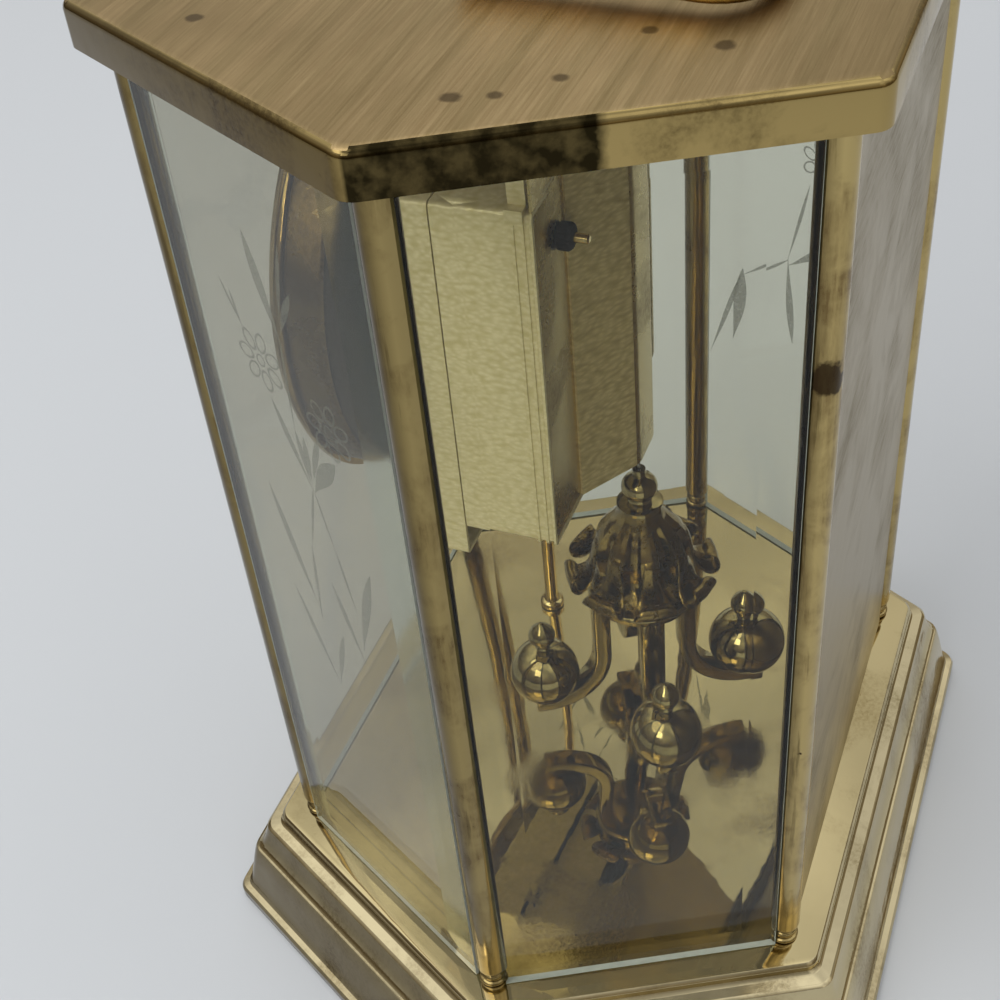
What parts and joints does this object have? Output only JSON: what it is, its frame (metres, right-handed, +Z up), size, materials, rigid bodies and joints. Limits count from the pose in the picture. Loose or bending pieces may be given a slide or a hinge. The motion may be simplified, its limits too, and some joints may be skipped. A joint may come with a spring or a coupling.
{
  "type": "anniversary clock",
  "caption": "Six-sided brass and glass mantel clock with a torsion pendulum of four balls, a folding carrying handle and a rear door.",
  "frame": {"origin": "middle of the underside of the base", "axes": "+Z up, -Y the side that the dial faces, +X to the right of someone who looks at the dial"},
  "size_m": [0.2012, 0.1502, 0.2363],
  "materials": {
    "base_brass": "polished, partly tarnished",
    "board": "pressed board",
    "felt": "felt",
    "post_brass": "polished, partly tarnished",
    "screw_steel": "plain",
    "glass": "clear, bevelled, lightly etched",
    "frame_brass": "plain sheet",
    "lid_brass": "brushed",
    "door_brass": "fine leather grain",
    "pin_steel": "plain",
    "stop_brass": "plain sheet",
    "bail_brass": "polished",
    "handle_brass": "polished",
    "nut_steel": "plain",
    "column_brass": "polished",
    "column_nut_steel": "plain",
    "clip_steel": "plain",
    "tray_brass": "satin",
    "cover_brass": "fine leather grain",
    "movement_plastic": "moulded",
    "battery_sleeve": "printed sleeve left plain",
    "knob_plastic": "fluted",
    "drum_brass": "satin, tarnished",
    "dial_paint": "satin cream",
    "bezel_brass": "polished",
    "nut_brass": "polished",
    "hand_black": "satin black",
    "arbor_steel": "bright",
    "hand_nut_brass": "polished",
    "arm_brass": "polished",
    "ball_brass": "polished",
    "crown_brass": "polished casting",
    "rod_brass": "polished",
    "knob_brass": "polished",
    "wire_steel": "drawn wire",
    "bracket_brass": "satin"
  },
  "bodies": {
    "case": {"base_shell": "base_brass", "base_board": "board", "base_felt": "felt", "post_front_right": "post_brass", "frame_screw_front_right": "screw_steel", "post_right_tip": "post_brass", "frame_screw_right_tip": "screw_steel", "post_rear_right": "post_brass", "frame_screw_rear_right": "screw_steel", "post_rear_left": "post_brass", "frame_screw_rear_left": "screw_steel", "post_left_tip": "post_brass", "frame_screw_left_tip": "screw_steel", "post_front_left": "post_brass", "frame_screw_front_left": "screw_steel", "glass_front_right": "glass", "glass_rear_right": "glass", "glass_rear_left": "glass", "glass_front_left": "glass", "glass_front": "glass", "top_frame": "frame_brass", "lid": "lid_brass", "door_stop": "stop_brass", "handle_pillar_left": "handle_brass", "handle_nut_left": "nut_steel", "column_left": "column_brass", "column_nut_left": "column_nut_steel", "cover_clip_left": "clip_steel", "handle_pillar_right": "handle_brass", "handle_nut_right": "nut_steel", "column_right": "column_brass", "column_nut_right": "column_nut_steel", "cover_clip_right": "clip_steel", "movement_frame": "tray_brass", "movement_cover": "cover_brass", "quartz_movement": "movement_plastic", "battery": "battery_sleeve", "dial_drum": "drum_brass", "dial_plate": "dial_paint", "dial_bezel": "bezel_brass", "dial_nut": "nut_brass", "suspension_bracket": "bracket_brass"},
    "hour": {"hour_hand": "hand_black"},
    "minute": {"minute_shaft": "arbor_steel", "minute_hand": "hand_black", "hand_nut": "hand_nut_brass"},
    "knob": {"setting_knob": "knob_plastic"},
    "pendulum": {"pendulum_arms": "arm_brass", "pendulum_ball_1": "ball_brass", "pendulum_ball_2": "ball_brass", "pendulum_ball_3": "ball_brass", "pendulum_ball_4": "ball_brass", "pendulum_crown": "crown_brass", "pendulum_rod": "rod_brass", "pendulum_knob": "knob_brass", "suspension_wire": "wire_steel"},
    "handle": {"handle_bail": "bail_brass"},
    "door": {"rear_door": "door_brass", "door_pin_upper": "pin_steel", "door_pin_lower": "pin_steel"}
  },
  "joints": [
    {"name": "minute_turn", "type": "hinge", "parent": "case", "child": "minute", "pos_m": [0, -0.04, 0.1578], "axis": [0, 1, 0], "continuous": true},
    {"name": "hour_turn", "type": "hinge", "parent": "case", "child": "hour", "pos_m": [0, -0.039, 0.1578], "axis": [0, 1, 0], "continuous": true},
    {"name": "setting_turn", "type": "hinge", "parent": "case", "child": "knob", "pos_m": [0.0205, 0.00305, 0.1744], "axis": [0, 1, 0], "continuous": true},
    {"name": "pendulum_spin", "type": "hinge", "parent": "case", "child": "pendulum", "pos_m": [0, 0.0092, 0.0732], "axis": [0, 0, 1], "range_deg": [-270, 270], "stiffness_Nm_per_rad": 0.000028},
    {"name": "handle_fold", "type": "hinge", "parent": "case", "child": "handle", "pos_m": [0, 0, 0.2312], "axis": [1, 0, 0], "range_deg": [0, 184]},
    {"name": "door_swing", "type": "hinge", "parent": "case", "child": "door", "pos_m": [-0.0426, 0.0543, 0.0272], "axis": [0, 0, 1], "range_deg": [0, 105]}
  ],
  "couplings": [
    {"joint": "hour_turn", "follows": "minute_turn", "ratio": 0.083333},
    {"joint": "setting_turn", "follows": "minute_turn", "ratio": -1}
  ]
}
